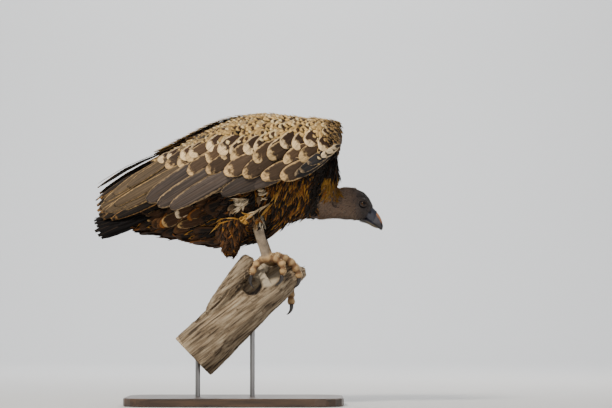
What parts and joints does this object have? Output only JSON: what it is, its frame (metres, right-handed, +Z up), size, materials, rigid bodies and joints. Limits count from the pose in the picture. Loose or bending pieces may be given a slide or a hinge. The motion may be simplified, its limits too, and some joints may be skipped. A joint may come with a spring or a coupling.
{
  "type": "perched Rüppell's vulture on a display stand",
  "caption": "Life-size still model of a Rüppell's vulture leaning forward with lowered head, gripping the broken end of a cut dead branch held by rods over a flat base.",
  "frame": {"origin": "centre of the underside of the stand's base, on the floor", "axes": "+X is the way the bird faces, along the base's long side; +Y is the bird's left; +Z is up"},
  "size_m": [0.7223, 0.34, 0.7242],
  "materials": {
    "head_down": "short matt down",
    "ruff_down": "soft matt down and lancet feathers",
    "body_feathers": "matt contour feathers with rusty and buff edges",
    "covert_feathers": "matt feathers, dark centres and broad cream fringes",
    "flight_feathers": "stiff feathers with a slight sheen and tan edges",
    "bill_horn": "smooth horn, worn satin",
    "claw_horn": "smooth dark horn",
    "eye": "wet gloss",
    "leg_skin": "dry scaly skin",
    "dead_wood": "weathered, barkless and cracked",
    "base_wood": "dark stained, satin",
    "rod_steel": "satin"
  },
  "bodies": {
    "root": {"head": "head_down", "eye_left": "eye", "eye_right": "eye", "bill_upper": "bill_horn", "bill_lower": "bill_horn", "neck": "head_down", "ruff": "ruff_down", "trunk": "body_feathers", "tail": "flight_feathers", "claw_left_hallux": "claw_horn", "claw_left_inner": "claw_horn", "claw_left_middle": "claw_horn", "claw_left_outer": "claw_horn", "claw_right_hallux": "claw_horn", "claw_right_inner": "claw_horn", "claw_right_middle": "claw_horn", "claw_right_outer": "claw_horn", "foot_left": "leg_skin", "foot_right": "leg_skin", "perch_branch": "dead_wood", "perch_shoot": "dead_wood", "stand_base": "base_wood", "stand_rod_front": "rod_steel", "stand_rod_rear": "rod_steel", "tarsus_left": "leg_skin", "tarsus_right": "leg_skin", "thigh_left": "body_feathers", "thigh_right": "body_feathers", "wing_left_alula": "flight_feathers", "wing_left_coverts": "covert_feathers", "wing_left_primaries": "flight_feathers", "wing_left_secondaries": "flight_feathers", "wing_right_alula": "flight_feathers", "wing_right_coverts": "covert_feathers", "wing_right_primaries": "flight_feathers", "wing_right_secondaries": "flight_feathers"}
  },
  "joints": []
}
